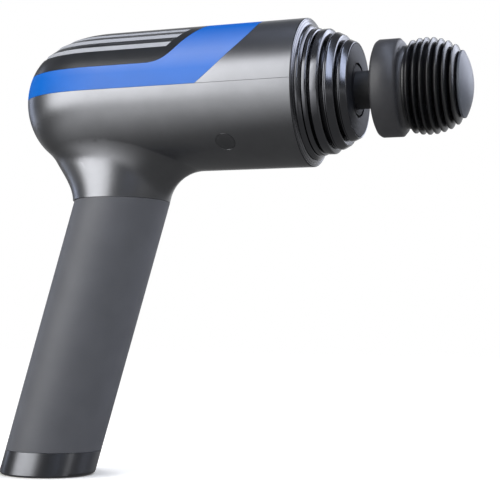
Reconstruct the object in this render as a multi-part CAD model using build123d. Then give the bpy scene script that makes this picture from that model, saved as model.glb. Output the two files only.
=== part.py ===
from build123d import *
import math
import os

# A handheld massage gun. Millimetres, +Z up, +X towards the massage head, +Y to the left.
# The origin is the centre of the base's flat underside.
# Whatever lies on the barrel is drawn about the barrel's own axis, with X = 0 at the barrel's
# front rim and X negative towards the rear dome, and on_barrel() then puts it in its place.

# ---- housing ----
barrel_radius = 32.25
wall = 2.5
axis_height = 170.25     # barrel axis above the underside of the base
rim_ahead = 126.3        # front rim ahead of the centre of the base
dome_start = -92.2       # the cylinder ends here and the rear dome begins
dome_length = 44.6
dome_power = 2.41        # superellipse power of the dome's outline
handle_radius = 21.75
handle_lean = 0.28       # forward travel for each millimetre up
core_radius = 20.2       # inside of the sleeve and of the neck
cell_space_radius = 18.75
neck_height = 124.7      # joint between neck and handle sleeve
neck_blend = 17.5        # radius that blends the neck into the barrel
seam = 0.15              # gap between neighbouring panels
# height about the barrel axis, and how far the neck's back stands behind the plain handle there
neck_flare = [(-60, 0), (-52, 0), (-45.8, 0.8), (-38, 5.5), (-30, 13), (-22, 20), (-10, 24)]

# ---- colour break of the upper shell, seen from the side ----
band_height = 10.8       # top edge of the blue band above the parting line
sweep_foot = -44.1       # the band's front edge meets the parting line here
sweep_head = -20.4       # and crosses the top of the barrel here
step_foot = -68.0        # the black insert's edge leaves the level line here
step_head = -46.0
louvres = [(18.4, 20.8), (23.3, 25.2), (26.9, 28.1)]   # bottom and top of each louvre face
louvre_recess = 0.6      # each louvre face starts this far inside the barrel's skin
louvre_setback = 5.0     # louvres end this far behind the insert's front edge
louvre_front = -38.0     # the louvred body reaches at least this far forward
strip_depth = 0.6

# ---- screws of the lower shell ----
plug_angle = 47.6        # degrees below the level of the axis
plug_x = -32.9
plug_radius = 4.25
screw_radius = 1.2
screw_head_radius = 2.6

# ---- nose ----
rim_ring_depth = 1.2
rim_bore = 29.4
nose_seat = 1.0          # the first ring sits on the collar here
edge_run = 0.3           # length of the last bevel at each ring's front edge
# for each ring: rear, shoulder and front, then its radius over the band, at the bend and at the
# front edge, and that of the groove behind it
rings = [(1.95, 3.7, 4.45, 27.5, 27.2, 26.6, 25.0),
         (5.35, 8.5, 9.3, 27.0, 26.2, 25.2, 24.0),
         (10.5, 12.0, 14.85, 25.2, 23.9, 23.4, 22.4),
         (15.65, 17.0, 19.6, 21.8, 20.75, 20.4, 19.6)]
scored_rings = (2, 3)    # these carry a fine line behind the shoulder
sleeve_radius = 14.0
bush_seat = 12.9
plunger_radius = 11.3
plunger_hole_radius = 11.65

# ---- drive ----
stroke = 12.0
rod_length = 32.0
wrist_x = -22.0                        # wrist pin with the plunger drawn in
crank_throw = stroke / 2
pin_x = wrist_x - rod_length           # crank pin at its inner dead centre
crank_x = pin_x + crank_throw
wrist_radius = 2.5
crank_pin_radius = 3.0
rod_half = 2.5                         # half the rod's thickness
rod_bearing_radius = 8.0
shaft_radius = 2.5
motor_bearing_radius = 4.9
bell_radius = 15.0
magnets = 14
magnet_gap = 4.0                       # degrees between neighbouring magnets
stator_teeth = 9
run_gap = 0.03                         # radial running clearance
fit_gap = 0.05                         # radial sliding clearance
bracket_bolts = (45, 135, 225, 315)    # degrees round the axis
bracket_bolt_circle = 17.0

# ---- massage head ----
stem_radius = 8.15
insert_radius = 7.1
seal_places = (-2.0, 5.0)
seal_radius = 0.55
collar_radius = 20.8
collar_back = 28.7
collar_front = 38.4
core_front = 41.6        # front of the collar's inner core, where the rubber begins
# middle and crest radius of each rubber rib
ribs = [(44.1, 19.6), (47.1, 20.2), (50.0, 20.4), (53.0, 20.2), (56.0, 19.5), (58.9, 18.4), (61.9, 16.7)]
rib_depth = 2.3
cap_back = 63.6
cap_rim = 65.0
cap_radius = 14.1
cap_tip = 68.6

# ---- battery ----
cell_radius = 9.2
cell_length = 65.0
cell_offset = 9.3

# ---- base ----
base_height = 11.2
# height and inset of the rounding round the foot
foot_rounding = [(0.0, 1.6), (0.35, 0.75), (0.95, 0.2), (1.8, 0.0)]
plate_radius = 17.5
button_x = -8.0
button_radius = 4.9
socket_x = 9.5
base_screw_y = 13.5
lamps = 4
lamp_circle = 14.0
first_lamp = -74.0       # degrees from straight ahead
lamp_step = 8.0


def on_barrel(shape):
    return Pos(rim_ahead, 0, axis_height) * shape


def turned(outline):
    """Solid of revolution about the barrel axis, from (x, radius) points."""
    points = [(x, 0, r) for x, r in outline]
    return revolve(make_face(Polyline(*points, close=True)), Axis.X, 360)


def tube(x0, x1, inner, outer):
    return turned([(x0, inner), (x1, inner), (x1, outer), (x0, outer)])


def turned_on_crank(outline):
    """Solid of revolution about the motor's axis, from (y, radius) points."""
    points = [(r, y, 0) for y, r in outline]
    return Pos(crank_x, 0, 0) * revolve(make_face(Polyline(*points, close=True)), Axis.Y, 360)


def cross_cylinder(radius, y0, y1, x=0.0, z=0.0):
    """Cylinder lying across the barrel, along Y."""
    disc = Plane.XZ * Circle(radius)
    return Pos(x, y1, z) * Solid.extrude(disc.face(), Vector(0, y0 - y1, 0))


def block(x0, x1, y0, y1, z0, z1):
    """Box between two corners."""
    return Pos((x0 + x1) / 2, (y0 + y1) / 2, (z0 + z1) / 2) * Box(x1 - x0, y1 - y0, z1 - z0)


def save(shape, node):
    export_step(shape, f"parts/{node}.step")


# ---------------------------------------------------------------- housing

def dome_x(radius):
    """Where the rear dome has the given radius."""
    t = (1 - (radius / barrel_radius) ** dome_power) ** (1 / dome_power)
    return dome_start - dome_length * t


def barrel_solid(inset, front):
    radius = barrel_radius - inset
    length = dome_length - inset
    start = (dome_start, 0, radius)
    tip = (dome_start - length, 0, 0)
    bend = []
    for t in (0.3, 0.5, 0.7, 0.85, 0.95):
        bend.append((dome_start - length * t, 0, radius * (1 - t ** dome_power) ** (1 / dome_power)))
    outline = [
        Line((front, 0, 0), (front, 0, radius)),
        Line((front, 0, radius), start),
        Spline(start, *bend, tip, tangents=[(-1, 0, 0), (0, 0, -1)]),
        Line(tip, (front, 0, 0)),
    ]
    return revolve(make_face(Wire(outline)), Axis.X, 360)


def handle_x(height):
    """Centre of the handle at a height about the barrel axis, in barrel coordinates."""
    return -rim_ahead + handle_lean * (height + axis_height)


def neck_solid(radius):
    sections = []
    for height, flare in neck_flare:
        section = Ellipse(radius + flare / 2, radius)
        sections.append((Pos(handle_x(height) - flare / 2, 0, height) * section).face())
    return loft(sections)


def body_solid(inset, neck_radius, front):
    """Barrel, dome and neck as one blended solid."""
    barrel = barrel_solid(inset, front)
    neck = neck_solid(neck_radius)
    body = barrel + neck
    return fillet(new_edges(barrel, neck, combined=body), neck_blend + inset)


def side_cutter(edges):
    """Prism right across the barrel, from a closed outline in side view."""
    face = make_face(Wire(edges))
    return extrude(face, 45, both=True)


def front_region():
    """Everything ahead of the band's swept front edge."""
    foot, head = (sweep_foot, 0, -0.5), (sweep_head, 0, 34)
    return side_cutter([
        Spline(foot, (-30.7, 0, 11.7), (-22.4, 0, 22.2), head, tangents=[(1, 0, 0.75), (0, 0, 1)]),
        Line(head, (6, 0, 34)),
        Line((6, 0, 34), (6, 0, -0.5)),
        Line((6, 0, -0.5), foot),
    ])


def insert_region(shift=0.0):
    """Everything above the level line at the rear, up to the swept step in front."""
    back, top = -150, 40
    foot = (step_foot - shift, 0, band_height)
    head = (step_head - shift, 0, top)
    knee = (-52.3 - shift, 0, 21.5)
    return side_cutter([
        Line((back, 0, band_height), foot),
        Spline(foot, (-58.7 - shift, 0, 13.7), knee, (step_head - 0.6 - shift, 0, 29.5), head,
               tangents=[(1, 0, 0), (0.02, 0, 1)]),
        Line(head, (back, 0, top)),
        Line((back, 0, top), (back, 0, band_height)),
    ])


def level_outline(level, inset=0.0):
    """The barrel's horizontal outline at one level."""
    half = math.sqrt(barrel_radius ** 2 - level ** 2) - inset
    rear = []
    for k in range(-5, 6):
        y = half * math.sin(math.radians(18 * k))
        reach = abs(y) * (half + inset) / half
        rear.append((dome_x(math.hypot(reach, level)) + inset, y, level))
    rear[0] = (dome_start, -half, level)
    rear[-1] = (dome_start, half, level)
    right, left = (louvre_front, -half, level), (louvre_front, half, level)
    outline = [
        Line(left, right),
        Line(right, rear[0]),
        Spline(*rear, tangents=[(-1, 0, 0), (1, 0, 0)]),
        Line(rear[-1], left),
    ]
    return make_face(Wire(outline))


def skin_slice(low, high):
    """Slice of the plain barrel between two levels."""
    return barrel_solid(0, louvre_front) & block(-150, louvre_front, -40, 40, low, high)


def louvre_stack():
    """Louvres lapped like shingles up the barrel's top and round its dome."""
    stack = skin_slice(9.0, louvres[0][0]) + skin_slice(louvres[-1][1], 40)
    for low, high in louvres:
        stack += loft([level_outline(low, louvre_recess), level_outline(high)])
    for (low, high), (next_low, next_high) in zip(louvres, louvres[1:]):
        stack += loft([level_outline(high), level_outline(next_low, louvre_recess)])
    return stack


def louvre_strips():
    """Bright strips set into the louvre faces."""
    zone = insert_region(louvre_setback)
    strips = []
    for low, high in louvres:
        band = loft([level_outline(low, louvre_recess), level_outline(high)])
        band -= loft([level_outline(low, louvre_recess + strip_depth), level_outline(high, strip_depth)])
        strips.append(band & zone)
    return strips


def plug_frame(side):
    """Place of a side screw plug: its Z points out of the shell."""
    angle = math.radians(plug_angle)
    out = Vector(0, side * math.cos(angle), -math.sin(angle))
    centre = Vector(plug_x, 0, 0) + out * barrel_radius
    return Plane(origin=centre, x_dir=(1, 0, 0), z_dir=out)


def make_housing():
    outer = body_solid(0, handle_radius, -rim_ring_depth - seam)
    inner = body_solid(wall, core_radius + 0.4, 5)
    shell = outer - inner

    lower = shell & block(-150, 10, -45, 45, neck_height - axis_height, -seam / 2)
    plugs, screws = [], []
    for side in (-1, 1):
        frame = plug_frame(side)
        lower += (frame * Pos(0, 0, -4.1) * Cylinder(screw_head_radius + 2.0, 4.2)) & inner
        lower -= frame * Pos(0, 0, -0.5) * Cylinder(plug_radius + seam, 2.0)
        lower -= frame * Pos(0, 0, -2.0) * Cylinder(screw_head_radius + 0.2, 1.2)
        lower -= frame * Pos(0, 0, -6) * Cylinder(screw_radius + 0.1, 12)
        plugs.append((frame * Pos(0, 0, -0.7) * Cylinder(plug_radius, 1.5)) & outer)
        screw = frame * Pos(0, 0, -2.05) * Cylinder(screw_head_radius, 1.0)
        screw += frame * Pos(0, 0, -6.0) * Cylinder(screw_radius, 8.0)
        screws.append(screw)

    upper = shell & block(-150, 10, -45, 45, seam / 2, 45)
    front = front_region()
    insert = insert_region()
    front_cover = upper & front
    band = upper - (Pos(-seam, 0, 0) * front) - (Pos(seam, 0, -seam) * insert)

    zone = insert_region(louvre_setback)
    smooth = (upper & insert) - zone
    stepped = (louvre_stack() & zone) - barrel_solid(wall, 5)
    insert_cover = smooth + stepped
    strips = louvre_strips()
    for strip in strips:
        insert_cover -= strip

    save(on_barrel(lower), "lower_shell")
    save(on_barrel(front_cover), "front_top_cover")
    save(on_barrel(band), "blue_band")
    save(on_barrel(insert_cover), "louvre_cover")
    save(on_barrel(Compound(strips)), "louvre_strips")
    save(on_barrel(Compound(plugs)), "screw_plugs")
    save(on_barrel(Compound(screws)), "shell_screws")


# ---------------------------------------------------------------- handle and base

def leaning(radius, z0, z1):
    """Leaning cylinder between two heights, round in every level section."""
    disc = Pos(handle_lean * z0, 0, z0) * Circle(radius)
    return Solid.extrude(disc.face(), Vector(handle_lean * (z1 - z0), 0, z1 - z0))


def make_handle():
    top = neck_height - seam
    sleeve = leaning(handle_radius, base_height, top) - leaning(core_radius, base_height - 1, top + 1)
    core = leaning(core_radius, 6.0, neck_height + 2.5) - leaning(cell_space_radius, 5.0, neck_height + 4)
    save(sleeve, "handle_sleeve")
    save(core, "handle_core")


# ---------------------------------------------------------------- nose

def ring_outline(k, bore):
    """Outline of one nose ring, from the ring behind it to its own front face."""
    rear, shoulder, front, radius, bend, edge, groove = rings[k]
    start = rings[k - 1][2] if k else nose_seat
    outline = [(start, bore), (start, groove), (rear, groove), (rear, radius - 0.35), (rear + 0.35, radius)]
    if k in scored_rings:
        line = (rear + 0.35 + shoulder) / 2
        outline += [(line - 0.18, radius), (line, radius - 0.3), (line + 0.18, radius)]
    outline += [(shoulder, radius), (front - edge_run, bend), (front, edge)]
    return outline


def make_nose():
    rim = turned([(-rim_ring_depth, rim_bore), (0, rim_bore), (0, barrel_radius - 0.5),
                  (-0.5, barrel_radius), (-rim_ring_depth, barrel_radius)])
    save(on_barrel(rim), "rim_ring")
    collar = turned([(-4.0, sleeve_radius), (-4.0, 28.6), (-0.3, rim_bore - 0.1), (0.9, rim_bore - 0.2),
                     (1.9, 27.8), (1.9, 26.4), (nose_seat, 26.4), (nose_seat, sleeve_radius)])
    save(on_barrel(collar), "nose_collar")
    for k in range(3):
        outline = ring_outline(k, sleeve_radius) + [(rings[k][2], sleeve_radius)]
        save(on_barrel(turned(outline)), f"nose_ring_{k + 1}")

    front, lip, seat = rings[3][2], 17.8, 15.8
    plate = turned(ring_outline(3, sleeve_radius) + [
        (front, plunger_hole_radius), (lip, plunger_hole_radius), (lip, 13.2), (seat, 13.2),
        (seat, sleeve_radius)])
    save(on_barrel(plate), "nose_plate")
    wiper = tube(seat + 0.1, lip, plunger_radius + fit_gap, 13.2)
    save(on_barrel(wiper), "wiper_seal")


# ---------------------------------------------------------------- drive

def make_guide():
    sleeve = turned([(-29, bush_seat), (-19, bush_seat), (-19, 11.9), (5, 11.9), (5, bush_seat),
                     (15.7, bush_seat), (15.7, sleeve_radius), (-26, sleeve_radius), (-26, 20), (-29, 20)])
    for angle in bracket_bolts:
        bolt = Pos(-27.5, 0, bracket_bolt_circle) * Rot(0, 90, 0) * Cylinder(screw_radius + 0.1, 6)
        sleeve -= Rot(angle, 0, 0) * bolt
    save(on_barrel(sleeve), "guide_sleeve")
    bushes = []
    for x0 in (-29, 5.2):
        bushes.append(tube(x0, x0 + 9.8, plunger_radius + fit_gap, bush_seat))
    save(on_barrel(Compound(bushes)), "guide_bushes")


def make_plunger():
    rear, front, socket_end, insert_end = -30, 19.4, 8.4, -5.8
    body = turned([(rear, 0), (front, 0), (front, plunger_radius - 0.6), (front - 0.6, plunger_radius),
                   (rear + 0.8, plunger_radius), (rear, plunger_radius - 0.8)])
    body -= tube(socket_end, front + 1, 0, stem_radius + fit_gap)
    body -= tube(insert_end, socket_end + 1, 0, insert_radius + fit_gap)
    body -= block(rear - 1, -13, -rod_half - 0.4, rod_half + 0.4, -8, 8)
    body -= cross_cylinder(wrist_radius, -12, 12, wrist_x)
    save(on_barrel(body), "plunger")
    pin = cross_cylinder(wrist_radius, -10.4, 10.4, wrist_x)
    save(on_barrel(pin), "wrist_pin")


def across_plane(*points):
    """Flat face in side view, from (x, z) points."""
    return Plane.XZ * make_face(Polyline(*points, close=True))


def make_rod():
    small_end, big_end = 5.2, 10.2
    rod = cross_cylinder(small_end, -rod_half, rod_half, wrist_x)
    rod += cross_cylinder(big_end, -rod_half, rod_half, pin_x)
    web = across_plane((wrist_x, 3.2), (pin_x, 5.4), (pin_x, -5.4), (wrist_x, -3.2))
    rod += Pos(0, rod_half, 0) * Solid.extrude(web.face(), Vector(0, -2 * rod_half, 0))
    rod -= cross_cylinder(wrist_radius + run_gap, -4, 4, wrist_x)
    rod -= cross_cylinder(rod_bearing_radius, -4, 4, pin_x)
    pocket = across_plane((-29.2, 1.7), (-41.5, 2.6), (-41.5, -2.6), (-29.2, -1.7))
    pocket_depth = 1.2
    for y in (rod_half, -rod_half + pocket_depth):
        rod -= Pos(0, y, 0) * Solid.extrude(pocket.face(), Vector(0, -pocket_depth, 0))
    save(on_barrel(rod), "connecting_rod")

    bearing = cross_cylinder(rod_bearing_radius, -rod_half, rod_half, pin_x)
    bearing -= cross_cylinder(crank_pin_radius, -4, 4, pin_x)
    for y in (rod_half, -rod_half + 0.5):
        groove = cross_cylinder(6.6, y - 0.5, y, pin_x) - cross_cylinder(4.4, y - 0.6, y + 0.1, pin_x)
        bearing -= groove
    save(on_barrel(bearing), "rod_bearing")

    pin = cross_cylinder(crank_pin_radius, -rod_half, 2.9, pin_x)
    pin += cross_cylinder(4.2, -3.9, -rod_half, pin_x)
    pin -= Pos(pin_x, -3.9, 0) * Rot(90, 0, 0) * extrude(RegularPolygon(1.6, 6), 1.2, both=True)
    save(on_barrel(pin), "crank_pin")


def make_rotor():
    near, far = 3.2, 7.2
    disc = cross_cylinder(10.6, near, far, crank_x)
    weight = cross_cylinder(15.5, near, far, crank_x) & block(crank_x + 3, crank_x + 20, 0, 10, -14, 14)
    crank = disc + weight
    crank -= cross_cylinder(shaft_radius, 0, 10, crank_x)
    crank -= cross_cylinder(crank_pin_radius, 0, 10, pin_x)
    save(on_barrel(crank), "crank")

    shaft = turned_on_crank([(near, 0), (24.6, 0), (24.6, shaft_radius), (near, shaft_radius)])
    save(on_barrel(shaft), "motor_shaft")
    inside = bell_radius - 1.1
    bell = turned_on_crank([(11.0, inside), (11.0, bell_radius), (22.9, bell_radius),
                            (24.2, bell_radius - 1.3), (24.2, shaft_radius), (22.4, shaft_radius),
                            (22.4, inside)])
    for k in range(6):
        opening = Pos(8.2, 23.3, 0) * Rot(90, 0, 0) * Cylinder(2.6, 4)
        bell -= Pos(crank_x, 0, 0) * Rot(0, 60 * k, 0) * opening
    save(on_barrel(bell), "motor_bell")
    arcs = []
    for k in range(magnets):
        arcs.append(turned_magnet(360 / magnets * k, 360 / magnets - magnet_gap, inside))
    save(on_barrel(Compound(arcs)), "rotor_magnets")


def turned_magnet(start, span, outside):
    inside, y0, y1 = outside - 1.0, 11.6, 21.6
    corners = [(inside, y0, 0), (outside, y0, 0), (outside, y1, 0), (inside, y1, 0)]
    face = make_face(Polyline(*corners, close=True))
    return Pos(crank_x, 0, 0) * Rot(0, start, 0) * revolve(face, Axis.Y, span)


def make_stator():
    near, far = 13.0, 20.6
    hub, tooth = 6.0, 2.4
    core = turned_on_crank([(near, hub), (far, hub), (far, hub + 2), (near, hub + 2)])
    windings = []
    for k in range(stator_teeth):
        turn = Pos(crank_x, 0, 0) * Rot(0, 360 / stator_teeth * k, 0)
        core += turn * block(hub + 1.6, 11.8, near, far, -tooth / 2, tooth / 2)
        tip = cross_cylinder(12.4, near, far) - cross_cylinder(11.4, near - 1, far + 1)
        core += turn * (tip & block(9, 13, near - 1, far + 1, -3.2, 3.2))
        coil = block(8.1, 11.0, near - 1, far + 1, -2.3, 2.3)
        coil -= block(8.0, 11.6, near, far, -tooth / 2, tooth / 2)
        windings.append(turn * coil)
    save(on_barrel(core), "stator_core")
    save(on_barrel(Compound(windings)), "stator_windings")

    bearings = []
    for y0 in (8.3, 17.8):
        inner, outer = shaft_radius + run_gap, motor_bearing_radius
        bearings.append(turned_on_crank([(y0, inner), (y0 + 3, inner), (y0 + 3, outer), (y0, outer)]))
    save(on_barrel(Compound(bearings)), "motor_bearings")


def make_bracket():
    """Aluminium frame: a round bulkhead behind the guide sleeve and a side plate for the motor."""
    bulkhead = tube(-31.4, -29, 15.2, 25.6)
    for angle in (90, 270):
        bulkhead -= Rot(angle, 0, 0) * block(-32, -28, -6, 6, 20.5, 23.5)
    plate = block(-66, -31.2, 8.2, 10.4, -15, 15)
    seat = motor_bearing_radius
    hub = turned_on_crank([(10.0, seat), (21.0, seat), (21.0, 6.0), (10.0, 6.0)])
    plate -= cross_cylinder(motor_bearing_radius, 7, 12, crank_x)
    bracket = bulkhead + plate + hub
    for x in (-62.5, -33.5):
        for z in (-12, 12):
            bracket -= cross_cylinder(screw_radius, 7, 12, x, z)
    for angle in bracket_bolts:
        bolt = Pos(-30, 0, bracket_bolt_circle) * Rot(0, 90, 0) * Cylinder(screw_radius, 6)
        bracket -= Rot(angle, 0, 0) * bolt
    save(on_barrel(bracket), "motor_bracket")

    screws = []
    for angle in bracket_bolts:
        shank = Pos(-28.7, 0, 0) * Rot(0, 90, 0) * Cylinder(screw_radius, 5.4)
        head = Pos(-25.2, 0, 0) * Rot(0, 90, 0) * Cylinder(2.2, 1.6)
        screws.append(Rot(angle, 0, 0) * Pos(0, 0, bracket_bolt_circle) * (shank + head))
    save(on_barrel(Compound(screws)), "bracket_screws")

    dampers = []
    for angle in (25, 155, 205, 335):
        pad = tube(-32.6, -27.8, 25.6, barrel_radius - wall - 0.1)
        dampers.append(pad & (Rot(angle, 0, 0) * block(-40, -20, 20, 35, -4.5, 4.5)))
    save(on_barrel(Compound(dampers)), "rubber_dampers")


# ---------------------------------------------------------------- massage head

def rib_outline():
    """The rubber head's stepped outline, from its axis at the back to its axis at the front."""
    outline = [(core_front, 0), (core_front, 17.6)]
    half = (ribs[1][0] - ribs[0][0]) / 2
    for x, crest in ribs:
        valley = crest - rib_depth
        outline += [(x - half + 0.12, valley), (x - 0.55, crest - 0.4), (x - 0.2, crest), (x + 0.2, crest),
                    (x + 0.55, crest - 0.4), (x + half - 0.12, valley)]
    return outline + [(cap_back, 12.6), (cap_back, 0)]


def cap_solid():
    """Shallow dome that closes the head."""
    rise = cap_tip - cap_rim
    ball = (cap_radius ** 2 + rise ** 2) / (2 * rise)
    bend = []
    for share in (1.0, 0.8, 0.6, 0.4, 0.2, 0.0):
        r = share * cap_radius
        bend.append((cap_tip - ball + math.sqrt(ball ** 2 - r ** 2), 0, r))
    back = [(cap_back, 0, 0), (cap_back, 0, cap_radius - 0.9), (cap_back + 0.6, 0, cap_radius), bend[0]]
    slope = cap_radius / ball
    outline = [Line(a, b) for a, b in zip(back, back[1:])]
    outline.append(Spline(*bend, tangents=[(slope, 0, -math.sqrt(1 - slope ** 2)), (0, 0, -1)]))
    outline.append(Line(bend[-1], back[0]))
    return revolve(make_face(Wire(outline)), Axis.X, 360)


def seal_ring(x):
    """O-ring with an eight-sided section."""
    middle = insert_radius - seal_radius
    section = []
    for k in range(8):
        angle = math.radians(22.5 + 45 * k)
        section.append((x + seal_radius * math.cos(angle), middle + seal_radius * math.sin(angle)))
    return turned(section)


def make_head():
    rear, shoulder, front = -5.5, 8.7, 34.0
    stem = turned([(rear, 0), (front, 0), (front, stem_radius), (shoulder + 0.7, stem_radius),
                   (shoulder, stem_radius - 0.7), (shoulder, insert_radius), (rear + 0.6, insert_radius),
                   (rear, insert_radius - 0.6)])
    stem -= tube(rear - 1, 6, 0, 5.0)
    for x in seal_places:
        stem -= tube(x - 0.8, x + 0.8, 6.0, 8.0)
    save(on_barrel(stem), "head_stem")
    save(on_barrel(Compound([seal_ring(x) for x in seal_places])), "stem_o_rings")

    collar = turned([(collar_back, stem_radius), (collar_back + 1.2, stem_radius), (collar_back + 1.2, 11.2),
                     (collar_back, 11.2), (collar_back, collar_radius - 1.7),
                     (collar_back + 0.5, collar_radius - 0.6), (collar_back + 1.5, collar_radius),
                     (collar_front, collar_radius), (collar_front + 1.2, collar_radius - 1.3),
                     (collar_front + 1.6, 17.4), (core_front, 17.4), (core_front, 0), (front, 0),
                     (front, stem_radius)])
    save(on_barrel(collar), "head_collar")
    save(on_barrel(turned(rib_outline())), "ribbed_head")
    save(on_barrel(cap_solid()), "head_cap")


# ---------------------------------------------------------------- battery and electronics

def along_handle(s, y=0.0):
    """Frame on the handle's centre line at height s: its Z runs up the handle."""
    return Plane(origin=(handle_lean * s, y, s), x_dir=(1, 0, -handle_lean), z_dir=(handle_lean, 0, 1))


def make_battery():
    rise = cell_length / math.hypot(1, handle_lean)
    low = 16.4
    high = low + rise + 1.6
    cells = []
    for s in (low, high):
        for y in (-cell_offset, cell_offset):
            cell = Cylinder(cell_radius, cell_length, align=(Align.CENTER, Align.CENTER, Align.MIN))
            tip = Pos(0, 0, cell_length) * Cylinder(3.0, 0.6, align=(Align.CENTER, Align.CENTER, Align.MIN))
            cells.append(along_handle(s, y) * (cell + tip))
    save(Compound(cells), "battery_cells")
    caps = []
    for s in (low - 1.4, high + rise + 0.7):
        cap = Cylinder(17.6, 1.3, align=(Align.CENTER, Align.CENTER, Align.MIN))
        for x in (-11, 11):
            cap -= Pos(x, 0, 0) * Cylinder(2.5, 4)
        caps.append(along_handle(s) * cap)
    save(Compound(caps), "cell_caps")


def make_boards():
    board = block(-116, -70, -19, 19, -2.6, -1.0)
    for x in (-112.5, -73.5):
        for y in (-15.5, 15.5):
            board -= Pos(x, y, -2) * Cylinder(1.4, 4)
    save(on_barrel(board), "control_board")
    capacitor = Pos(-82, -9, 3.0) * Cylinder(5.0, 8.0)
    controller = block(-100, -92, -4, 4, -1.0, 0.6)
    plug = block(-79, -73, 2, 14, -1.0, 4.6)
    pieces = [capacitor, controller, plug]
    for k in range(4):
        pieces.append(block(-110 + 6.5 * k, -105.5 + 6.5 * k, 9, 15.5, -1.0, 1.3))
    save(on_barrel(Compound(pieces)), "board_components")


# ---------------------------------------------------------------- base

def lamp_place(k):
    angle = math.radians(first_lamp + lamp_step * k)
    return Pos(lamp_circle * math.cos(angle), lamp_circle * math.sin(angle), 0)


def make_base():
    sections = []
    for height, inset in foot_rounding + [(base_height - seam, 0.0)]:
        sections.append((Pos(handle_lean * height, 0, height) * Circle(handle_radius - inset)).face())
    ring = loft(sections, ruled=True)
    ring -= leaning(core_radius, 2.8, base_height + 1)
    ring -= Cylinder(plate_radius + 0.1, 8)
    save(ring, "base_ring")

    plate = Pos(0, 0, 1.5) * Cylinder(plate_radius, 3.0)
    plate += Pos(0.9, 0, 3.5) * (Cylinder(18.9, 1.4) - Cylinder(16.7, 2))
    plate -= Pos(button_x, 0, 2) * Cylinder(button_radius + 0.3, 8)
    plate -= Pos(button_x, 0, -0.1) * Cylinder(button_radius + 1.3, 1.0)
    plate -= Pos(socket_x, 0, 2) * Cylinder(4.6, 8)
    for y in (-base_screw_y, base_screw_y):
        plate -= Pos(0, y, 2) * Cylinder(screw_radius + 0.1, 8)
        plate -= Pos(0, y, 0.2) * Cylinder(2.4, 3.0)
    for k in range(lamps):
        plate -= lamp_place(k) * Cylinder(0.9, 12)
    save(plate, "base_plate")

    screws = []
    for y in (-base_screw_y, base_screw_y):
        screws.append(Pos(0, y, 1.05) * Cylinder(2.3, 1.3) + Pos(0, y, 3.9) * Cylinder(screw_radius, 4.6))
    save(Compound(screws), "base_screws")

    button = Pos(button_x, 0, 2.65) * Cylinder(button_radius, 4.3)
    button += Pos(button_x, 0, 3.8) * Cylinder(button_radius + 1.3, 0.8)
    button = fillet(button.edges().filter_by_position(Axis.Z, 0.4, 0.6), 0.5)
    save(button, "power_button")

    socket = block(socket_x - 4.4, socket_x + 4.4, -4.9, 4.9, 3.2, 9.8)
    socket += Pos(socket_x, 0, 1.8) * Cylinder(4.4, 3.0)
    socket -= Pos(socket_x, 0, 4.3) * Cylinder(2.9, 9.0)
    socket += Pos(socket_x, 0, 5.2) * Cylinder(1.05, 7.6)
    save(socket, "charging_socket")

    lenses = []
    for k in range(lamps):
        lenses.append(lamp_place(k) * Pos(0, 0, 3.3) * Cylinder(0.85, 6.2))
    save(Compound(lenses), "charge_lamps")

    board = Pos(2.0, 0, 7.4) * Cylinder(16.2, 1.6)
    board -= block(socket_x - 4.6, socket_x + 4.6, -5.1, 5.1, 4, 10)
    save(board, "charge_board")
    switch = Pos(button_x, 0, 6.3) * Cylinder(3.0, 0.6)
    save(switch, "button_switch")


os.makedirs("parts", exist_ok=True)
make_housing()
make_handle()
make_nose()
make_guide()
make_plunger()
make_rod()
make_rotor()
make_stator()
make_bracket()
make_head()
make_battery()
make_boards()
make_base()
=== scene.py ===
import math

import bmesh
import bpy
from mathutils import Matrix, Vector


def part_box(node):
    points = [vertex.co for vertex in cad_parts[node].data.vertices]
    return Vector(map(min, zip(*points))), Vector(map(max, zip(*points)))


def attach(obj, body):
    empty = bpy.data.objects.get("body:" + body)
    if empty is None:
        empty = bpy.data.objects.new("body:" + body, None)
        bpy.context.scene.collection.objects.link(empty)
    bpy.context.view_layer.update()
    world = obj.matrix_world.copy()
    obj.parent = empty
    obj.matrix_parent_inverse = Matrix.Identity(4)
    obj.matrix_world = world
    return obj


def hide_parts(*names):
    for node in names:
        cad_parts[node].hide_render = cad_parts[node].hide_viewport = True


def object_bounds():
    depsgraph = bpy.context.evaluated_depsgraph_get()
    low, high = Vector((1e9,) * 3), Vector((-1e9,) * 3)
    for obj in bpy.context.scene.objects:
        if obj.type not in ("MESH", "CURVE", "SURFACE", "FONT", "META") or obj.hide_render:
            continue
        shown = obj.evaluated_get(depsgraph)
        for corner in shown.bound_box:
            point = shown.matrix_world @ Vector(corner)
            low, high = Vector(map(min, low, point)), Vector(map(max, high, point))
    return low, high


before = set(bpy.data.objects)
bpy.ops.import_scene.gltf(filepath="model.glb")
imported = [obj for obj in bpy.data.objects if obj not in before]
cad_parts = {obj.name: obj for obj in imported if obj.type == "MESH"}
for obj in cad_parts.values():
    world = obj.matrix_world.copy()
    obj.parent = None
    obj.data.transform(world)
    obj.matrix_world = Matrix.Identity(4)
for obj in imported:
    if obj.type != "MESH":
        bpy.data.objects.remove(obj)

scene = bpy.context.scene
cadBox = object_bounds()
mm = 0.001
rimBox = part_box("rim_ring")
barrel = Vector((rimBox[1].x, 0, (rimBox[0].z + rimBox[1].z) / 2))  # centre of the barrel's front rim
print("frame loaded", len(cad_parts), "nodes")


# helpers for materials

def toLinear(hexText):
    # an sRGB hex colour as linear red, green, blue and alpha
    channels = [int(hexText[i:i + 2], 16) / 255 for i in (1, 3, 5)]
    return [c / 12.92 if c <= 0.04045 else ((c + 0.055) / 1.055) ** 2.4 for c in channels] + [1]


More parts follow.
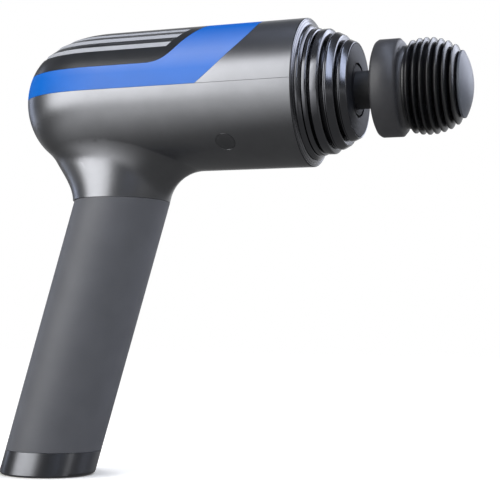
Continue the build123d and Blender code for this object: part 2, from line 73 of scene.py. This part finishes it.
def addNode(tree, kind, inputs=None, **settings):
    # a shader node with its settings, its inputs filled in or linked
    made = tree.nodes.new("ShaderNode" + kind)
    for name, value in settings.items():
        setattr(made, name, value)
    for socket, value in (inputs or {}).items():
        if isinstance(value, bpy.types.NodeSocket):
            tree.links.new(value, made.inputs[socket])
        else:
            made.inputs[socket].default_value = value
    return made


def newMaterial(name):
    made = bpy.data.materials.new(name)
    made.use_nodes = True
    return made, made.node_tree


def span(reach, levels):
    # inputs that take a value from the first level to the second while it runs through its reach
    return {"From Min": reach[0], "From Max": reach[1], "To Min": levels[0], "To Max": levels[1]}


def setStops(ramp, colours, places):
    # two colours of a ramp and the places they stand at
    for stop, colour, place in zip(ramp.elements, colours, places):
        stop.color = toLinear(colour)
        stop.position = place


def fade(tree, measure, point, reach, levels):
    # runs between two levels with the distance from a point, or with how far it is in a direction
    coords = addNode(tree, "TexCoord").outputs["Object"]
    value = addNode(tree, "VectorMath", {0: coords, 1: point}, operation=measure).outputs["Value"]
    return addNode(tree, "MapRange", {"Value": value, **span(reach, levels)}).outputs["Result"]


def grain(tree, coords, size, detail, stretch):
    # noise with features of the given size in millimetres
    place = addNode(tree, "Mapping", {"Vector": coords, "Scale": stretch}).outputs["Vector"]
    noise = {"Vector": place, "Scale": 1 / (size * mm), "Detail": detail}
    return addNode(tree, "TexNoise", noise).outputs["Fac"]


surfaceLook = {"stops": (0.3, 0.7), "cloudDetail": 3.0, "gritDetail": 2.0,
               "strength": 0.5, "stretch": (1, 1, 1)}


def surface(name, look):
    # mottled colour, uneven roughness and a fine relief, which every moulded or cast finish has
    made, tree = newMaterial(name)
    shader = tree.nodes["Principled BSDF"]
    for socket, value in look["fixed"].items():
        shader.inputs[socket].default_value = value
    coords = addNode(tree, "TexCoord").outputs["Object"]
    stretch = look.get("stretch", surfaceLook["stretch"])
    cloud = grain(tree, coords, look["cloud"], surfaceLook["cloudDetail"], stretch)
    colours = addNode(tree, "ValToRGB", {"Fac": cloud})
    setStops(colours.color_ramp, look["colours"], surfaceLook["stops"])
    fine = grain(tree, coords, look["grit"], surfaceLook["gritDetail"], stretch)
    rough = addNode(tree, "MapRange", {"Value": fine, **span((0, 1), look["roughness"])})
    relief = addNode(tree, "Bump", {"Height": fine, "Distance": look["relief"] * mm,
                                    "Strength": look.get("strength", surfaceLook["strength"])})
    tree.links.new(colours.outputs["Color"], shader.inputs["Base Color"])
    tree.links.new(rough.outputs["Result"], shader.inputs["Roughness"])
    tree.links.new(relief.outputs["Normal"], shader.inputs["Normal"])
    return made


# finishes, each named for the real one: cloud, grit and relief are sizes in millimetres
# real flake and spark grain are finer than this, and are drawn as coarse as they need to show

finishes = {
    # metallic lacquer over die-cast aluminium: a soft deep sheen with a very fine flake
    "gunmetalLacquer": {"colours": ("#7A7B7E", "#7F8083"), "cloud": 9, "grit": 0.35, "relief": 0.003,
                        "roughness": (0.29, 0.34), "strength": 0.2, "fixed": {"Metallic": 1.0}},
    # satin blue ABS: deep and saturated, with a soft skin that pales where a light strikes it, and a painted
    # sheen set by place further down
    "blueAbs": {"colours": ("#055FB8", "#0763BE"), "cloud": 12, "grit": 1.2, "relief": 0.005,
                "roughness": (0.60, 0.66), "strength": 0.2, "fixed": {"Coat Roughness": 0.65}},
    # spark-eroded black ABS: satin with a faint grain, and painted shade at the louvre bottoms further down
    "satinBlackAbs": {"colours": ("#1B1C1E", "#202124"), "cloud": 10, "grit": 0.3, "relief": 0.006,
                      "roughness": (0.28, 0.34), "strength": 0.3, "fixed": {"Specular IOR Level": 0.6}},
    # silver lacquer on ABS: pale and even, with a broad sheen
    "silverLacquer": {"colours": ("#A6A7AA", "#AEAFB1"), "cloud": 8, "grit": 0.3, "relief": 0.005,
                      "roughness": (0.38, 0.46), "fixed": {}},
    # moulded silicone: matte, slightly dusty, soft highlight
    "greySilicone": {"colours": ("#4B4C50", "#515256"), "cloud": 14, "grit": 0.25, "relief": 0.02,
                     "roughness": (0.50, 0.60), "fixed": {"Specular IOR Level": 0.6}},
    # dark gloss metallic lacquer on the rim and the nose: clear, deep reflections
    "darkGlossLacquer": {"colours": ("#646569", "#6A6B6F"), "cloud": 8, "grit": 0.3, "relief": 0.002,
                         "roughness": (0.20, 0.24), "strength": 0.2, "fixed": {"Metallic": 1.0}},
    # dark lacquer on the small screw plugs: duller than the shell round them
    "plugLacquer": {"colours": ("#68696B", "#6E6F72"), "cloud": 6, "grit": 0.35, "relief": 0.003,
                    "roughness": (0.36, 0.42), "strength": 0.2, "fixed": {"Metallic": 1.0}},
    # polished gunmetal lacquer on the base ring: smooth upright streaks of light
    "baseLacquer": {"colours": ("#626366", "#68696C"), "cloud": 8, "grit": 0.2, "relief": 0.001,
                    "roughness": (0.27, 0.29), "strength": 0.2, "fixed": {"Metallic": 1.0}},
    # etched charcoal ABS on the nose plate: flat and matte
    "charcoalAbs": {"colours": ("#26272A", "#2B2C30"), "cloud": 9, "grit": 0.3, "relief": 0.015,
                    "roughness": (0.45, 0.55), "fixed": {"Specular IOR Level": 0.15}},
    # soft black silicone of the head's collar: flat with a dusty bloom
    "softBlackRubber": {"colours": ("#2F2F31", "#343436"), "cloud": 8, "grit": 0.25, "relief": 0.01,
                        "roughness": (0.42, 0.50), "fixed": {"Specular IOR Level": 0.5}},
    # nitrile rubber: black, satin, with a waxy bloom
    "blackRubber": {"colours": ("#0D0D0F", "#121214"), "cloud": 8, "grit": 0.25, "relief": 0.006,
                    "roughness": (0.24, 0.32), "fixed": {"Specular IOR Level": 0.6}},
    # buffed rubber of the head's end: a smooth grey skin with a wide pale sheen
    "polishedRubber": {"colours": ("#41454C", "#474B52"), "cloud": 6, "grit": 0.6, "relief": 0.004,
                       "roughness": (0.42, 0.50), "strength": 0.2, "fixed": {"Specular IOR Level": 0.6}},
    # glass-filled nylon: black with pale fibres at the skin
    "blackNylon": {"colours": ("#17181A", "#1F2023"), "cloud": 5, "grit": 0.2, "relief": 0.015,
                   "roughness": (0.5, 0.62), "stretch": (0.4, 1, 1), "fixed": {}},
    # zinc-plated steel: grey with a faint bright bloom
    "zincSteel": {"colours": ("#8B8C8F", "#A2A3A5"), "cloud": 2, "grit": 0.15, "relief": 0.004,
                  "roughness": (0.28, 0.4), "fixed": {"Metallic": 1.0}},
    # ground steel: bright with fine grinding lines round the pin
    "groundSteel": {"colours": ("#B2B2B4", "#BEBEC0"), "cloud": 3, "grit": 0.2, "relief": 0.003,
                    "roughness": (0.14, 0.26), "stretch": (1, 0.08, 1), "fixed": {"Metallic": 1.0}},
    # blackened steel of the motor bell: dark with a dull shine
    "blackenedSteel": {"colours": ("#2A2B2D", "#36373A"), "cloud": 4, "grit": 0.3, "relief": 0.004,
                       "roughness": (0.3, 0.42), "fixed": {"Metallic": 1.0}},
    # sintered steel of the crank: dull with open pores
    "sinteredSteel": {"colours": ("#67676A", "#7C7C80"), "cloud": 1.2, "grit": 0.2, "relief": 0.012,
                      "roughness": (0.42, 0.58), "fixed": {"Metallic": 1.0}},
    # die-cast aluminium: pale grey and lightly pitted
    "castAluminium": {"colours": ("#8E8F92", "#A4A5A8"), "cloud": 3, "grit": 0.35, "relief": 0.015,
                      "roughness": (0.38, 0.52), "fixed": {"Metallic": 1.0}},
    # machined aluminium of the connecting rod: bright with cutter lines along it
    "machinedAluminium": {"colours": ("#B4B6B9", "#C6C7CA"), "cloud": 3, "grit": 0.18, "relief": 0.006,
                          "roughness": (0.22, 0.34), "stretch": (0.1, 1, 1), "fixed": {"Metallic": 1.0}},
    # black hard-anodised aluminium of the plunger: a dark, dry oxide skin
    "anodisedAluminium": {"colours": ("#1C1D1F", "#222326"), "cloud": 5, "grit": 0.3, "relief": 0.003,
                          "roughness": (0.50, 0.58), "stretch": (0.15, 1, 1),
                          "fixed": {"Specular IOR Level": 0.1}},
    # sintered bronze of the guide bushes: warm and dull with open pores
    "sinteredBronze": {"colours": ("#8A6534", "#A67F48"), "cloud": 1.5, "grit": 0.2, "relief": 0.012,
                       "roughness": (0.35, 0.5), "fixed": {"Metallic": 1.0}},
    # nickel plating on the magnets: bright with a warm tint
    "nickelPlate": {"colours": ("#A8A49B", "#B8B4AA"), "cloud": 3, "grit": 0.3, "relief": 0.003,
                    "roughness": (0.15, 0.24), "fixed": {"Metallic": 1.0}},
    # stacked laminations of electrical steel: fine stripes across the stack
    "laminatedSteel": {"colours": ("#4A4B50", "#6A6B70"), "cloud": 0.5, "grit": 0.3, "relief": 0.01,
                       "roughness": (0.4, 0.5), "stretch": (0.05, 1, 0.05), "fixed": {"Metallic": 1.0}},
    # enamelled copper wire laid side by side: warm stripes
    "enamelledCopper": {"colours": ("#8C3F17", "#C8733A"), "cloud": 0.5, "grit": 0.5, "relief": 0.08,
                        "roughness": (0.24, 0.34), "stretch": (0.08, 1, 0.08), "fixed": {"Metallic": 0.9}},
    # solder mask on the boards: green gloss with darker tracks under it
    "solderMask": {"colours": ("#0C4A22", "#12602D"), "cloud": 1.4, "grit": 0.6, "relief": 0.02,
                   "roughness": (0.25, 0.35), "stretch": (0.35, 1, 1), "fixed": {"Coat Weight": 0.3}},
    # moulded epoxy of the electronic parts: black, dull and a little rough
    "mouldedEpoxy": {"colours": ("#17181A", "#222326"), "cloud": 2, "grit": 0.2, "relief": 0.01,
                     "roughness": (0.4, 0.55), "fixed": {}},
    # shrink sleeve on the cells: thin glossy blue film
    "shrinkSleeve": {"colours": ("#214A86", "#2A5899"), "cloud": 10, "grit": 1.5, "relief": 0.02,
                     "roughness": (0.22, 0.3), "fixed": {"Coat Weight": 0.2}},
    # frosted acrylic light pipes: pale and milky
    "frostedAcrylic": {"colours": ("#C9D6E2", "#DCE6EF"), "cloud": 1.5, "grit": 0.2, "relief": 0.01,
                       "roughness": (0.3, 0.4), "fixed": {"Transmission Weight": 0.35}},
}
materials = {name: surface(name, look) for name, look in finishes.items()}


def along(tree, axis, reach, levels):
    # fades along an axis, with its reach in millimetres from the centre of the rim
    ends = [barrel.dot(Vector(axis)) + end * mm for end in reach]
    return fade(tree, "DOT_PRODUCT", axis, ends, levels)


# painted sheen on the blue skin, set by place: each change of it with its axis, its reach and its levels
bluePaintedSheen = {
    "side": ((0, 0, 1), (7, 13.5), (0.62, 1.45)),  # the painted sheen is raised up the side of the barrel
    "top": ((0, 0, 1), (16, 27.5), (1.0, 0.05)),  # and taken away again over the top
    "dome": ((1, 0, 0), (-120, -90), (0.08, 1.0)),  # and taken off where the skin turns down over the dome
}
tree = materials["blueAbs"].node_tree
gloss = 1.0
for axis, reach, levels in bluePaintedSheen.values():
    mask = along(tree, axis, reach, levels)
    gloss = addNode(tree, "Math", {0: gloss, 1: mask}, operation="MULTIPLY").outputs["Value"]
# the painted sheen sets the specular level and the coat
for socket in ("Specular IOR Level", "Coat Weight"):
    tree.links.new(gloss, tree.nodes["Principled BSDF"].inputs[socket])

# painted shade: the sheen is cut at the bottoms of the louvres along the barrel, and the dome is given one
# even sheen
louvrePaintedShade = {"radii": (31.75, 32.1), "levels": (0.05, 0.6), "dome": (-95, -90), "domeLevel": 0.5}
tree = materials["satinBlackAbs"].node_tree
coords = addNode(tree, "TexCoord").outputs["Object"]
local = addNode(tree, "VectorMath", {0: coords, 1: barrel}, operation="SUBTRACT").outputs["Vector"]
across = addNode(tree, "VectorMath", {0: local, 1: (0, 1, 1)}, operation="MULTIPLY").outputs["Vector"]
radius = addNode(tree, "VectorMath", {0: across}, operation="LENGTH").outputs["Value"]
radii = [r * mm for r in louvrePaintedShade["radii"]]
sheen = addNode(tree, "MapRange", {"Value": radius, **span(radii, louvrePaintedShade["levels"])}).outputs["Result"]
onDome = along(tree, (1, 0, 0), louvrePaintedShade["dome"], (1.0, 0.0))
sheen = addNode(tree, "Mix", {0: onDome, 2: sheen, 3: louvrePaintedShade["domeLevel"]}, data_type="FLOAT")
# the painted shade sets the specular level
tree.links.new(sheen.outputs[0], tree.nodes["Principled BSDF"].inputs["Specular IOR Level"])
print("materials made", len(materials))


# helpers for pieces

meshing = {
    "weld": 0.0005, "flat": 0.2, "sharp": 32,  # points merged, in millimetres, then angles in degrees
    "steps": 160, "roundSteps": 4,  # round a turned piece and round one of its edges
}


def link(name, data):
    # an object for a mesh, a lamp or a camera, in the scene
    made = bpy.data.objects.new(name, data)
    scene.collection.objects.link(made)
    return made


def toMesh(bm, name, material):
    mesh = bpy.data.meshes.new(name)
    bm.to_mesh(mesh)
    bm.free()
    mesh.materials.append(material)
    return mesh


def addPiece(bm, name, finish, body, node, sharp=meshing["sharp"]):
    # a finished piece in place of a node, riding on the node's body
    bmesh.ops.recalc_face_normals(bm, faces=bm.faces)
    mesh = toMesh(bm, name, materials[finish])
    mesh.shade_smooth()
    mesh.set_sharp_from_angle(angle=math.radians(sharp))
    piece = link(name, mesh)
    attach(piece, body)
    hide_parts(node)
    return piece


def turned(outline):
    # spins a closed outline of (x, radius, rounding) about the barrel's axis, in millimetres from its rim
    bm = bmesh.new()
    corners = [bm.verts.new((x * mm, 0, r * mm)) for x, r, *rest in outline]
    for k, corner in enumerate(corners):
        bm.edges.new((corner, corners[(k + 1) % len(corners)]))
    for corner, (x, r, *rest) in zip(corners, outline):
        if rest:
            bmesh.ops.bevel(bm, geom=[corner], offset=rest[0] * mm, segments=meshing["roundSteps"],
                            profile=0.5, affect="VERTICES", clamp_overlap=True, material=-1)
    bmesh.ops.spin(bm, geom=bm.verts[:] + bm.edges[:], cent=(0, 0, 0), axis=(1, 0, 0), angle=math.tau,
                   steps=meshing["steps"], use_merge=True, use_duplicate=False)
    bmesh.ops.remove_doubles(bm, verts=bm.verts, dist=meshing["weld"] * mm)
    bmesh.ops.translate(bm, vec=barrel, verts=bm.verts)
    return bm


def copied(node):
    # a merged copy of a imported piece, in its place
    bm = bmesh.new()
    bm.from_mesh(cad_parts[node].data)
    bmesh.ops.remove_doubles(bm, verts=bm.verts, dist=meshing["weld"] * mm)
    bmesh.ops.dissolve_limit(bm, angle_limit=math.radians(meshing["flat"]), verts=bm.verts, edges=bm.edges)
    for layer in list(bm.loops.layers.float_vector):
        bm.loops.layers.float_vector.remove(layer)
    return bm


def setNormals(piece, change):
    # each corner of each face gets the normal that change makes of its place, its own normal and its face's
    mesh = piece.data
    normals = [Vector(n.vector) for n in mesh.corner_normals]
    for face in mesh.polygons:
        for k in face.loop_indices:
            place = mesh.vertices[mesh.loops[k].vertex_index].co
            normals[k] = change(place, normals[k], face.normal)
    mesh.normals_split_custom_set(normals)


# shell of the barrel, and the handle

barrelForm = {"radius": 32.25, "domeStart": -92.2, "domeLength": 44.6, "domePower": 2.41,
              "tolerance": 0.08, "facing": 0.985, "pole": 0.01}


def barrelNormal(local):
    # the normal of the barrel or its rear dome at a point on its skin, or None elsewhere
    size, power = barrelForm["radius"], barrelForm["domePower"]
    out = Vector((0, local.y, local.z))
    r = out.length / mm / size
    back = (barrelForm["domeStart"] - local.x / mm) / barrelForm["domeLength"]
    if back <= 0:
        return out.normalized() if abs(r - 1) * size < barrelForm["tolerance"] else None
    if back >= 1 or r <= barrelForm["pole"]:
        return None
    if abs((r ** power + back ** power) ** (1 / power) - 1) * size > barrelForm["tolerance"]:
        return None
    slope = out.normalized() * r ** (power - 1) / size
    slope.x = -back ** (power - 1) / barrelForm["domeLength"]
    return slope.normalized()


def onBarrel(place, normal, facing):
    # the exact normal where a piece lies on the barrel, so that reflections run smoothly across its seams
    exact = barrelNormal(place - barrel)
    return normal if exact is None or exact.dot(facing) <= barrelForm["facing"] else exact


baseLook = {"rise": 0.12, "wall": 0.6}


def onBase(place, normal, facing):
    # the base ring's wall is faintly barrelled, so its sheen stands upright
    if abs(normal.z) >= baseLook["wall"]:
        return normal
    return (Vector((normal.x, normal.y, 0)).normalized() + Vector((0, 0, baseLook["rise"]))).normalized()


shells = {
    "lower_shell": ("lowerShell", "gunmetalLacquer", "satin_gunmetal", onBarrel),
    "front_top_cover": ("frontTopCover", "gunmetalLacquer", "satin_gunmetal", onBarrel),
    "blue_band": ("blueBand", "blueAbs", "blue_gloss", onBarrel),
    "louvre_cover": ("louvreCover", "satinBlackAbs", "black_satin", onBarrel),
    "louvre_strips": ("louvreStrips", "silverLacquer", "silver_paint", None),
    "handle_sleeve": ("handleSleeve", "greySilicone", "grey_silicone", None),
    "base_ring": ("baseRing", "baseLacquer", "base_gloss", onBase),
    "screw_plugs": ("screwPlugs", "plugLacquer", "satin_gunmetal", onBarrel),
}
for node, (name, finish, slot, change) in shells.items():
    piece = addPiece(copied(node), name, finish, "housing", node)
    if change:
        setNormals(piece, change)
print("shells made", len(shells))


# nose: a rim, a collar, three rings and a bezel, turned with their edges rounded, and the plate inside

noseLook = {
    "bore": 14.0, "seat": 1.0, "sharp": 50,
    "cut": 0.35, "run": 0.3, "round": 0.12, "shoulderRound": 0.2,  # edges of the rings
    "scored": ("noseRing3", "noseBezel"),  # these have a line scored round the band
    "scoreHalf": 0.18, "scoreDepth": 0.3, "scoreRound": 0.06,
    "bezelInside": [(19.25, 20.0, 0.1), (19.0, 19.4), (14.85, 19.4)],  # the bezel is a shell round the plate
}
bore = noseLook["bore"]
noseRings = {
    # rear, shoulder and front, then the radius of the band, the bend, the front edge and the groove behind
    "noseRing1": (1.95, 3.7, 4.45, 27.5, 27.2, 26.6, 25.0),
    "noseRing2": (5.35, 8.5, 9.3, 27.0, 26.2, 25.2, 24.0),
    "noseRing3": (10.5, 12.0, 14.85, 25.2, 23.9, 23.4, 22.4),
    "noseBezel": (15.65, 17.0, 19.6, 21.8, 20.75, 20.4, 19.6),
}


def ringOutline(name, start):
    rear, shoulder, front, radius, bend, edge, groove = noseRings[name]
    soft, cut = noseLook["round"], noseLook["cut"]
    outline = [(start, groove), (rear, groove), (rear, radius - cut, soft), (rear + cut, radius, soft)]
    if name in noseLook["scored"]:
        line, half = (rear + cut + shoulder) / 2, noseLook["scoreHalf"]
        outline += [(line - half, radius, noseLook["scoreRound"]), (line, radius - noseLook["scoreDepth"]),
                    (line + half, radius, noseLook["scoreRound"])]
    outline += [(shoulder, radius, noseLook["shoulderRound"]), (front - noseLook["run"], bend, soft),
                (front, edge, soft)]
    return outline + (noseLook["bezelInside"] if name == "noseBezel" else [(front, bore), (start, bore)])


noseOutlines = {
    "rimRing": [(-1.2, 29.4), (-0.05, 29.4), (-0.05, 29.6, 0.1), (-0.42, 30.5, 0.05), (-0.5, 30.58),
                (-0.45, 30.66, 0.05), (-0.8, 31.45, 0.05), (-0.88, 31.53), (-0.83, 31.6, 0.05),
                (-0.95, 31.93, 0.15), (-1.2, 32.22)],
    "noseCollar": [(-4.0, bore), (-4.0, 28.6), (-0.3, 29.3), (0.9, 29.2, 0.25), (1.9, 27.8, 0.15),
                   (1.9, 26.4), (1.0, 26.4), (1.0, bore)],
}
start = noseLook["seat"]
for name, shape in noseRings.items():
    noseOutlines[name] = ringOutline(name, start)
    start = shape[2]
noseOutlines["nosePlate"] = [(14.85, bore), (14.85, 19.4), (19.0, 19.4), (19.25, 19.95, 0.1),
                             (19.6, 19.9, 0.15), (19.6, 11.8, 0.15), (19.45, 11.65, 0.1), (17.8, 11.65),
                             (17.8, 13.2), (15.8, 13.2), (15.8, bore)]
noseNodes = {"rimRing": "rim_ring", "noseCollar": "nose_collar", "noseRing1": "nose_ring_1",
             "noseRing2": "nose_ring_2", "noseRing3": "nose_ring_3", "noseBezel": "nose_plate",
             "nosePlate": "nose_plate"}
noseFinish = ("darkGlossLacquer", "dark_ring")
plateFinish = ("charcoalAbs", "charcoal_plastic")
for name, outline in noseOutlines.items():
    finish, slot = plateFinish if name == "nosePlate" else noseFinish
    addPiece(turned(outline), name, finish, "housing", noseNodes[name], sharp=noseLook["sharp"])
print("nose made", len(noseOutlines))


# head

headPieces = {
    "head_stem": ("headStem", "blackNylon", "stem_plastic"),
    "head_collar": ("headCollar", "softBlackRubber", "head_rubber"),
    "ribbed_head": ("ribbedHead", "blackRubber", "head_rubber"),
    "head_cap": ("headCap", "polishedRubber", "cap_gloss"),
}
for node, (name, finish, slot) in headPieces.items():
    addPiece(copied(node), name, finish, "head", node)
print("head made", len(headPieces))


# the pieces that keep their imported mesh: the drive, the cells, the boards and the underside

inside = {
    "blackNylon": ("charging_socket", "cell_caps", "handle_core"),
    "blackRubber": ("power_button", "wiper_seal", "rubber_dampers", "stem_o_rings"),
    "satinBlackAbs": ("base_plate",),
    "frostedAcrylic": ("charge_lamps",),
    "zincSteel": ("shell_screws", "base_screws", "bracket_screws"),
    "groundSteel": ("wrist_pin", "rod_bearing", "crank_pin", "motor_shaft", "motor_bearings"),
    "anodisedAluminium": ("plunger",),
    "castAluminium": ("guide_sleeve", "motor_bracket"),
    "machinedAluminium": ("connecting_rod",),
    "sinteredBronze": ("guide_bushes",),
    "sinteredSteel": ("crank",),
    "blackenedSteel": ("motor_bell",),
    "nickelPlate": ("rotor_magnets",),
    "laminatedSteel": ("stator_core",),
    "enamelledCopper": ("stator_windings",),
    "shrinkSleeve": ("battery_cells",),
    "solderMask": ("control_board", "charge_board"),
    "mouldedEpoxy": ("board_components", "button_switch"),
}
for finish, nodes in inside.items():
    for node in nodes:
        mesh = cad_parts[node].data
        mesh.materials.clear()
        mesh.materials.append(materials[finish])
print("inside finished", sum(len(nodes) for nodes in inside.values()))


# camera at the height of the handle, looking slightly up

camera = {"place": (0.2746, -0.4866, 0.0613), "towards": (-0.341, 0.9368, 0.0783), "roll": 0.985,
          "lens": 85.24, "sensor": 36}


def aim(item, towards, roll):
    # turns a lamp or the camera towards a direction, rolled by some degrees
    item.rotation_mode = "QUATERNION"
    rolled = Matrix.Rotation(math.radians(roll), 4, "Z").to_quaternion()
    item.rotation_quaternion = towards.to_track_quat("-Z", "Y") @ rolled


eye = link("camera", bpy.data.cameras.new("camera"))
eye.location = camera["place"]
aim(eye, Vector(camera["towards"]), camera["roll"])
eye.data.lens = camera["lens"]
eye.data.sensor_width = camera["sensor"]
scene.camera = eye
print("camera set")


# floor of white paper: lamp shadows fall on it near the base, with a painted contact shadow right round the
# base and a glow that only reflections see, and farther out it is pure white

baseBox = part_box("base_ring")
underBase = ((baseBox[0].x + baseBox[1].x) / 2, 0, 0)
floorLook = {"radius": 6.0, "drop": 0.0001, "steps": 96, "tint": (1.0, 0.97, 0.88), "bounce": 0.85}
floorFades = {
    # each fade with what it measures, its reach in metres and its levels
    "matte": ("DISTANCE", underBase, (0.08, 0.45), (1.0, 0.0)),  # the paper's own white
    "glow": ("DISTANCE", underBase, (0.08, 0.45), (0.42, 1.05)),  # and the even light that takes its place
    "paintedContactShadow": ("DISTANCE", underBase, (0.023, 0.036), (0.15, 1.0)),  # a painted shadow: the dark line where the base stands
    "bright": ("DISTANCE", (-0.50, -0.68, 0), (0.48, 0.80), (1.4, 0.15)),  # a glowing patch that only gloss sees, standing in for light in the reflections
    "left": ("DOT_PRODUCT", (-0.95, 0.31, 0), (0.1, 0.3), (1.0, 0.1)),  # the far left that stays dark in that glow
    "far": ("DISTANCE", underBase, (0.6, 1.7), (0.17, 0.8)),  # and the glow of the rest of the floor, in reflections only
}


def rays(tree, *kinds):
    # 1 for light on any of these kinds of path
    path = addNode(tree, "LightPath")
    share = path.outputs[kinds[0]]
    for kind in kinds[1:]:
        share = addNode(tree, "Math", {0: share, 1: path.outputs[kind]}, operation="MAXIMUM").outputs["Value"]
    return share


paper, tree = newMaterial("whitePaper")
direct = rays(tree, "Is Camera Ray", "Is Transmission Ray")
gloss = rays(tree, "Is Glossy Ray")
either = addNode(tree, "Math", {0: direct, 1: gloss}, operation="MAXIMUM").outputs["Value"]
fades = {name: fade(tree, *settings) for name, settings in floorFades.items()}
# the floor's glow in reflections: a bright patch at the front, dark to the far left, set by place and not by
# the lamps
glossGlow = addNode(tree, "Math", {0: fades["bright"], 1: fades["left"]}, operation="MULTIPLY").outputs["Value"]
inGloss = addNode(tree, "Math", {0: glossGlow, 1: fades["far"]}, operation="MAXIMUM").outputs["Value"]
# the glow is cut round the base by the painted contact shadow, whatever the lamps do
inView = addNode(tree, "Math", {0: fades["glow"], 1: fades["paintedContactShadow"]}, operation="MULTIPLY").outputs["Value"]
strength = addNode(tree, "Mix", {0: gloss, 2: inView, 3: inGloss}, data_type="FLOAT").outputs[0]
strength = addNode(tree, "Math", {0: strength, 1: either}, operation="MULTIPLY").outputs["Value"]
bounced = {0: direct, 2: floorLook["bounce"], 3: fades["matte"]}
white = addNode(tree, "Mix", bounced, data_type="FLOAT").outputs[0]
white = addNode(tree, "Math", {0: white, 1: gloss}, operation="SUBTRACT", use_clamp=True).outputs["Value"]
tinted = addNode(tree, "VectorMath", {0: floorLook["tint"], "Scale": white}, operation="SCALE")
matte = addNode(tree, "BsdfDiffuse", {"Color": tinted.outputs["Vector"]}).outputs["BSDF"]
glow = addNode(tree, "Emission", {"Color": toLinear("#FFFFFF"), "Strength": strength}).outputs["Emission"]
mixed = addNode(tree, "AddShader", {0: matte, 1: glow}).outputs["Shader"]
tree.links.new(mixed, tree.nodes["Material Output"].inputs["Surface"])
bm = bmesh.new()
bmesh.ops.create_circle(bm, cap_ends=True, segments=floorLook["steps"], radius=floorLook["radius"])
floor = link("floor", toMesh(bm, "floor", paper))
floor.location = (0, 0, -floorLook["drop"])
print("floor made")


# sky: plain grey light on the tool, white where it is seen

sky = {"colours": ("#FFFFFF", "#6E7075"), "stops": (0.3, 0.7), "ambient": 0.3, "seen": 1.0}
world = bpy.data.worlds.new("studio")
scene.world = world
world.use_nodes = True
tree = world.node_tree
direction = addNode(tree, "TexCoord").outputs["Generated"]
height = addNode(tree, "SeparateXYZ", {"Vector": direction}).outputs["Z"]
colours = addNode(tree, "ValToRGB", {"Fac": height})
setStops(colours.color_ramp, sky["colours"], sky["stops"])
seen = rays(tree, "Is Camera Ray", "Is Glossy Ray", "Is Transmission Ray")
strength = addNode(tree, "MapRange", {"Value": seen, **span((0, 1), (sky["ambient"], sky["seen"]))})
tree.links.new(colours.outputs["Color"], tree.nodes["Background"].inputs["Color"])
tree.links.new(strength.outputs["Result"], tree.nodes["Background"].inputs["Strength"])


# dark curtain round the table, open at the front left: only gloss sees it, for the tool's dark edges

curtain = {"radius": 1.7, "low": 0.0, "high": 1.5, "from": -92, "to": 202, "steps": 48,
           "colour": (0.97, 0.98, 1, 1), "paler": (-0.087, 0.996, 0), "reach": (1.2, 1.7),
           "levels": (0.13, 0.75)}
cloth, tree = newMaterial("darkCloth")
tree.nodes.remove(tree.nodes["Principled BSDF"])
paleness = fade(tree, "DOT_PRODUCT", curtain["paler"], curtain["reach"], curtain["levels"])
glow = addNode(tree, "Emission", {"Color": curtain["colour"], "Strength": paleness}).outputs["Emission"]
tree.links.new(glow, tree.nodes["Material Output"].inputs["Surface"])
bm = bmesh.new()
turn = Matrix.Rotation(math.radians(curtain["from"]), 3, "Z")
edge = [bm.verts.new(turn @ Vector((curtain["radius"], 0, curtain[level]))) for level in ("low", "high")]
bm.edges.new(edge)
bmesh.ops.spin(bm, geom=bm.verts[:] + bm.edges[:], cent=(0, 0, 0), axis=(0, 0, 1), steps=curtain["steps"],
               angle=math.radians(curtain["to"] - curtain["from"]), use_merge=False, use_duplicate=False)
drape = link("curtain", toMesh(bm, "curtain", cloth))
drape.visible_camera = drape.visible_diffuse = drape.visible_shadow = drape.visible_transmission = False
print("sky and curtain made")


# lamps, each with its azimuth and elevation in degrees and its distance and size in metres

lamps = {
    # large soft box at the front left, which makes the broad highlights, and a dimmer one beside it
    "softBoxLeft": {"from": (-134, 21), "away": 1.15, "size": (0.66, 1.2), "roll": -12, "radiance": 3.15},
    "fillLeft": {"from": (-109, 22), "away": 1.15, "size": (0.36, 1.2), "roll": -12, "radiance": 2.3},
    # tall cool box on the right, which lights the nose and the head
    "softBoxRight": {"from": (-50, 58), "away": 1.2, "size": (0.34, 2.1), "radiance": 5.2,
                     "colour": "#DCE6FF"},
    # cool box at the back right, which lights the bevels at the front and the back of the tool
    "softBoxBack": {"from": (43, 27), "away": 1.3, "size": (1.25, 0.8), "radiance": 4.2, "colour": "#E8EDFF"},
    # narrow strip at the back left, which draws the pale rim
    "stripBack": {"from": (164, 14), "away": 1.3, "size": (0.3, 0.9), "radiance": 1.8, "colour": "#DCE6FF"},
    # weak strip low on the right, for the second sheen of the base
    "stripRight": {"from": (-18, 22), "away": 1.3, "size": (0.25, 0.8), "radiance": 2.4},
}
middle = (cadBox[0] + cadBox[1]) / 2
for name, lamp in lamps.items():
    azimuth, elevation = (math.radians(a) for a in lamp["from"])
    level = math.cos(elevation)
    out = Vector((math.cos(azimuth) * level, math.sin(azimuth) * level, math.sin(elevation)))
    box = link(name, bpy.data.lights.new(name, "AREA"))
    box.data.shape = "RECTANGLE"
    box.data.size, box.data.size_y = lamp["size"]
    box.data.energy = lamp["radiance"] * math.pi * box.data.size * box.data.size_y
    box.data.color = toLinear(lamp.get("colour", "#FFFFFF"))[:3]
    box.location = middle + out * lamp["away"]
    aim(box, -out, lamp.get("roll", 0))
    box.visible_camera = False
print("lamps made", len(lamps))

scene.view_settings.view_transform = "Standard"
